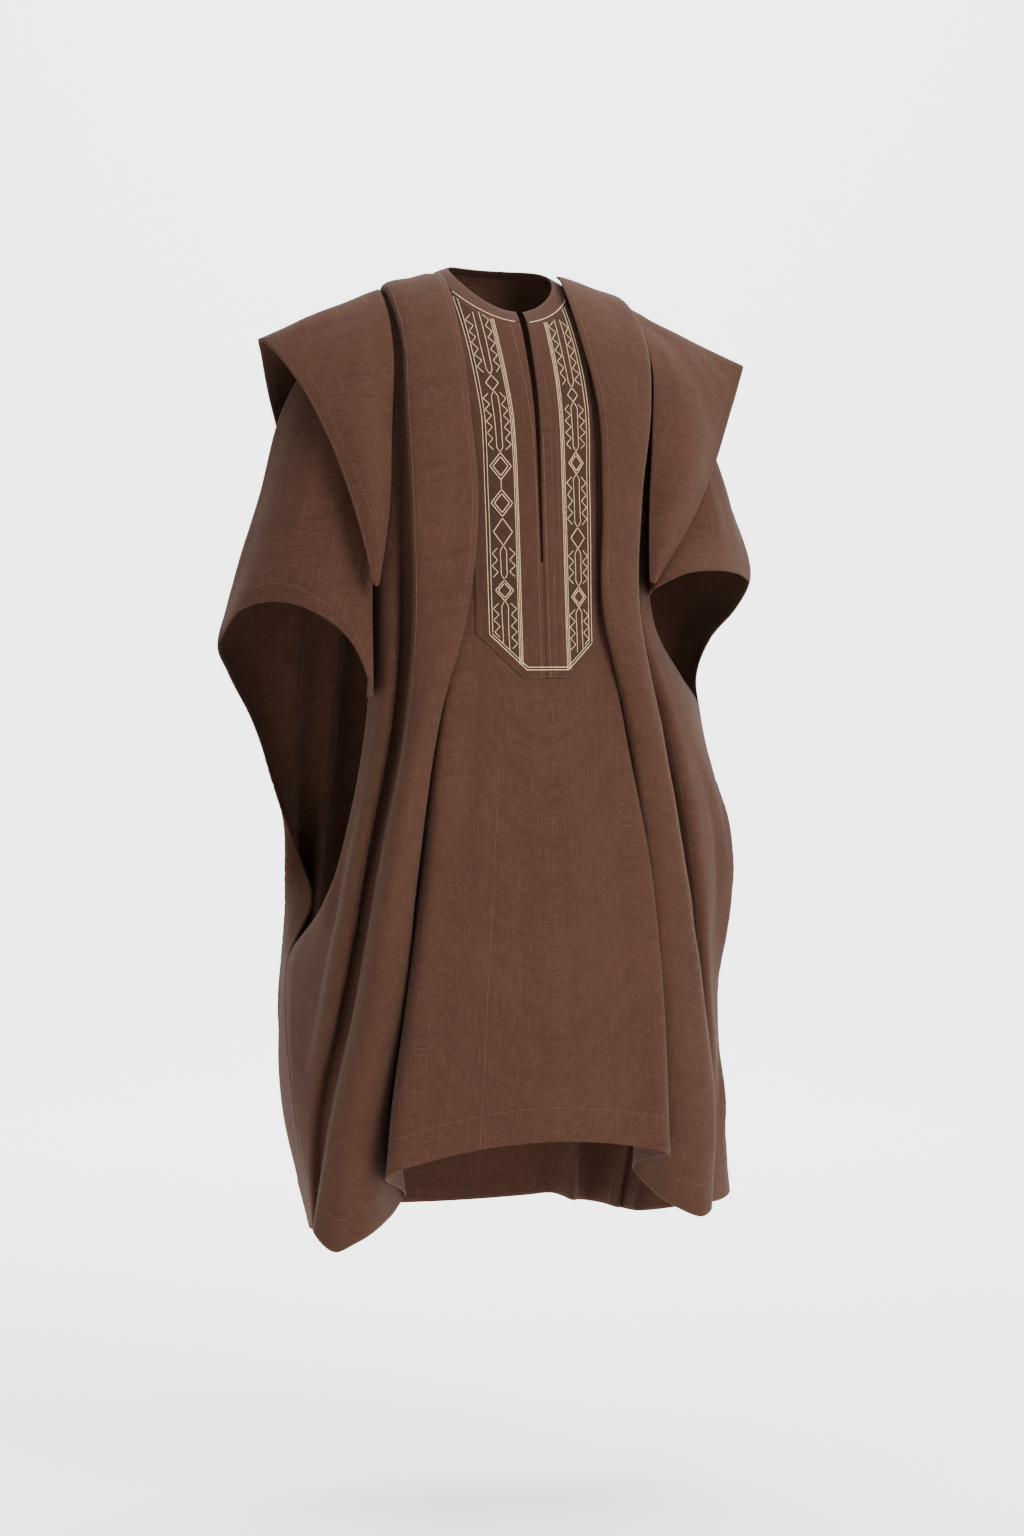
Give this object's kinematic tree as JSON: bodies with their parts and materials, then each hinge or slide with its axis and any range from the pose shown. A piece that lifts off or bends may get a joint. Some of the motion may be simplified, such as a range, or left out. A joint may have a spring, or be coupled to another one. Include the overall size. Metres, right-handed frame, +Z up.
{
  "type": "grand boubou robe",
  "caption": "Worn grand boubou robe with folded shoulder wings, wide open sleeves, side folds, a slit neck and a braided chest panel.",
  "frame": {"origin": "centre of the neck opening, level with the shoulders at the base of the neck, where the wearer's shoulders carry the robe", "axes": "+Z up, -Y the front of the robe, +X the wearer's left"},
  "size_m": [0.6993, 0.425, 1.2458],
  "materials": {
    "cloth": "brown plain weave with slubs, matte",
    "band": "brown plain weave, darker, matte",
    "panel": "brown plain weave with pale gold braid"
  },
  "bodies": {
    "root": {"centre_front": "cloth", "centre_back": "cloth", "side_front_right": "cloth", "side_front_left": "cloth", "side_back_right": "cloth", "side_back_left": "cloth", "sleeve_front_right": "cloth", "sleeve_front_left": "cloth", "sleeve_back_right": "cloth", "sleeve_back_left": "cloth", "wing_right": "cloth", "wing_left": "cloth", "neck_band": "band", "chest_panel": "panel"}
  },
  "joints": []
}
